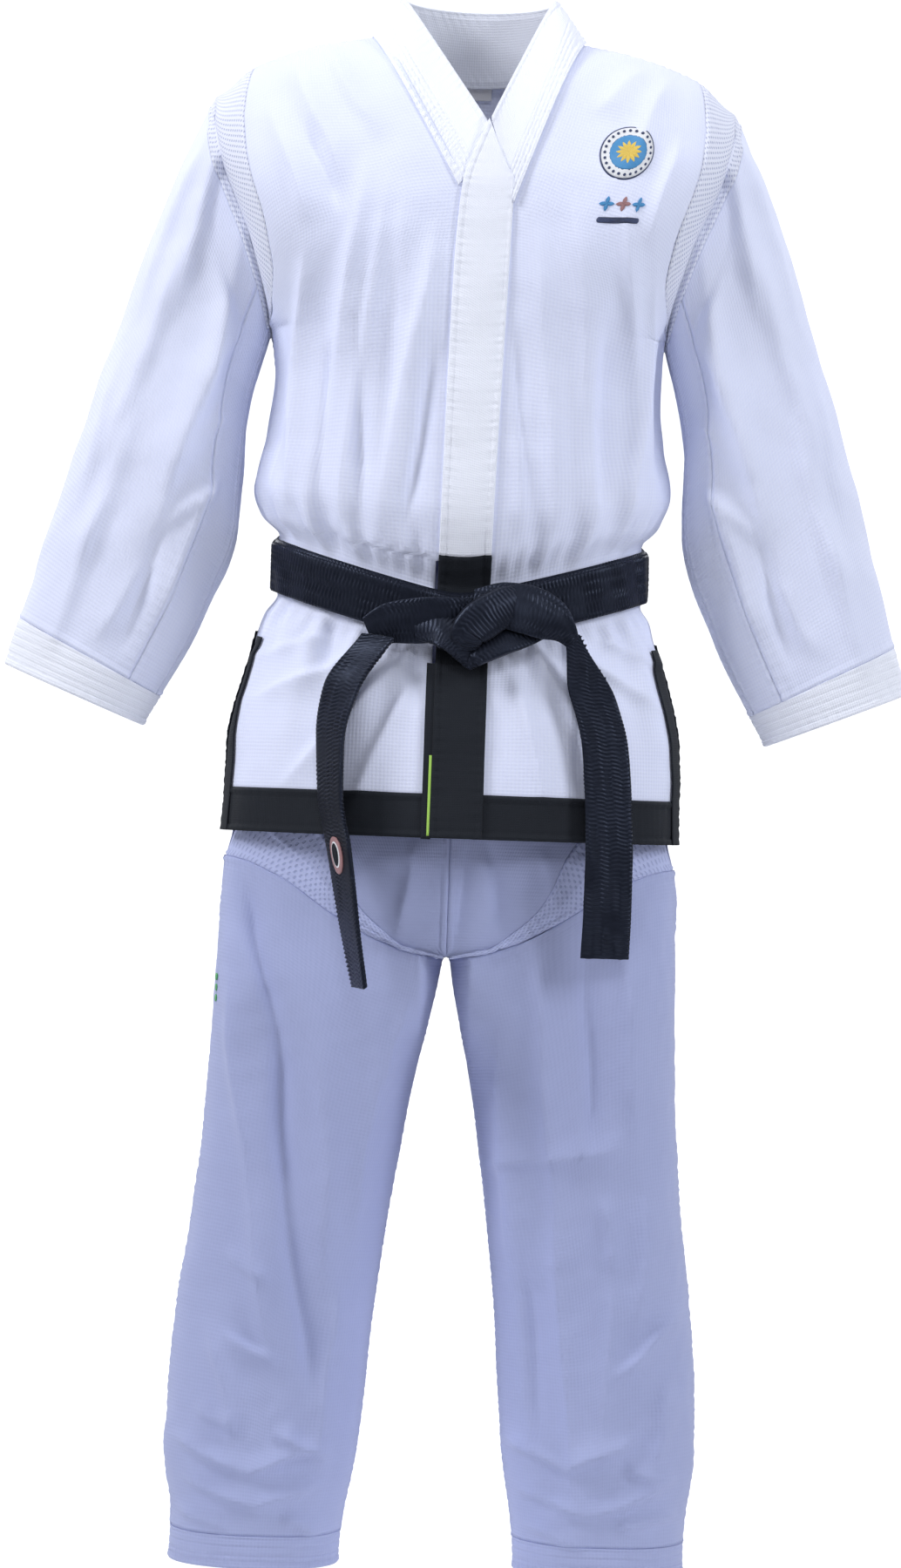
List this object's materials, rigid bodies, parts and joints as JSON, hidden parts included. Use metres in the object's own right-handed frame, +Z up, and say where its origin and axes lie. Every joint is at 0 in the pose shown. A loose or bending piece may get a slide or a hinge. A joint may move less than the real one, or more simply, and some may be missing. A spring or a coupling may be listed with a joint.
{
  "type": "martial arts uniform",
  "caption": "white martial arts uniform: crossover jacket with black trim and mesh shoulders, tied black belt, loose trousers with mesh hip inserts",
  "frame": {"origin": "the middle of the wearer's waist, at belt height", "axes": "+Z runs up the wearer from the waist to the neck, -Y is the front with the knot, +X is the wearer's left"},
  "size_m": [0.836, 0.3125, 1.4537],
  "materials": {
    "jacket_white": "bleached polyester-cotton with a fine diamond weave",
    "trouser_white": "the same white weave, in softer light",
    "mesh_white": "open white knitted mesh",
    "trim_black": "matt black cotton band",
    "belt_satin": "black satin with lengthwise stitch rows",
    "piping_green": "lime green and white piping",
    "elastic": "knitted elastic",
    "label_white": "woven white label",
    "badge_blue": "raised satin-stitch embroidery",
    "mark_navy": "raised satin-stitch embroidery",
    "tag_green": "raised green embroidery",
    "label_rose": "woven label on the belt end"
  },
  "bodies": {
    "jacket": {"back_panel": "jacket_white", "front_panel_left": "jacket_white", "front_panel_right": "jacket_white", "armhole_mesh_left": "mesh_white", "armhole_mesh_right": "mesh_white", "placket_upper": "jacket_white", "placket_black_upper": "trim_black", "lapel_left": "jacket_white", "lapel_right": "jacket_white", "collar_back": "jacket_white", "neck_label": "label_white", "chest_badge": "badge_blue", "chest_mark": "mark_navy", "belt_wrap_inner": "belt_satin", "belt_wrap_outer": "belt_satin", "belt_knot": "belt_satin", "waistband": "trouser_white", "waist_elastic": "elastic", "rise_front_left": "trouser_white", "rise_front_right": "trouser_white", "seat_left": "trouser_white", "seat_right": "trouser_white", "hip_mesh_left": "mesh_white", "hip_mesh_right": "mesh_white", "crotch_gusset": "trouser_white"},
    "sleeve_left": {"sleeve_mesh_left": "mesh_white", "sleeve_main_left": "jacket_white", "sleeve_gusset_left": "jacket_white", "cuff_left": "jacket_white"},
    "sleeve_right": {"sleeve_mesh_right": "mesh_white", "sleeve_main_right": "jacket_white", "sleeve_gusset_right": "jacket_white", "cuff_right": "jacket_white"},
    "front_skirt": {"skirt_front_left": "jacket_white", "skirt_front_right": "jacket_white", "hem_trim_front_left": "trim_black", "hem_trim_front_right": "trim_black", "vent_trim_front_left": "trim_black", "vent_trim_front_right": "trim_black", "placket_black_lower": "trim_black", "placket_piping": "piping_green", "placket_facing": "trim_black"},
    "back_skirt": {"skirt_back": "jacket_white", "hem_trim_back": "trim_black", "vent_trim_back_left": "trim_black", "vent_trim_back_right": "trim_black"},
    "leg_left": {"leg_front_left": "trouser_white", "leg_back_left": "trouser_white", "leg_hem_left": "trouser_white"},
    "leg_right": {"leg_front_right": "trouser_white", "leg_back_right": "trouser_white", "leg_hem_right": "trouser_white", "side_tag": "tag_green"},
    "belt_tail_left": {"belt_tail_left": "belt_satin"},
    "belt_tail_right": {"belt_tail_right": "belt_satin", "belt_label": "label_rose"}
  },
  "joints": [
    {"name": "sleeve_raise_left", "type": "hinge", "parent": "jacket", "child": "sleeve_left", "pos_m": [0.228, 0, 0.4], "axis": [0, -1, 0], "range_deg": [0, 55], "deforming": ["sleeve_mesh_left"]},
    {"name": "sleeve_raise_right", "type": "hinge", "parent": "jacket", "child": "sleeve_right", "pos_m": [-0.228, 0, 0.4], "axis": [0, 1, 0], "range_deg": [0, 55], "deforming": ["sleeve_mesh_right"]},
    {"name": "leg_spread_left", "type": "hinge", "parent": "jacket", "child": "leg_left", "pos_m": [0.1, 0, -0.2], "axis": [0, -1, 0], "range_deg": [0, 16], "deforming": ["hip_mesh_left", "crotch_gusset"]},
    {"name": "leg_spread_right", "type": "hinge", "parent": "jacket", "child": "leg_right", "pos_m": [-0.1, 0, -0.2], "axis": [0, 1, 0], "range_deg": [0, 16], "deforming": ["hip_mesh_right"]},
    {"name": "front_flap_lift", "type": "hinge", "parent": "jacket", "child": "front_skirt", "pos_m": [0, -0.118, -0.084], "axis": [-1, 0, 0], "range_deg": [0, 30]},
    {"name": "back_flap_lift", "type": "hinge", "parent": "jacket", "child": "back_skirt", "pos_m": [0, 0.108, -0.046], "axis": [1, 0, 0], "range_deg": [0, 30]},
    {"name": "tail_swing_left", "type": "hinge", "parent": "front_skirt", "child": "belt_tail_left", "pos_m": [0.108, -0.122, -0.054], "axis": [-1, 0, 0], "range_deg": [0, 40]},
    {"name": "tail_swing_right", "type": "hinge", "parent": "front_skirt", "child": "belt_tail_right", "pos_m": [-0.081, -0.131, -0.068], "axis": [-1, 0, 0], "range_deg": [0, 40]}
  ]
}
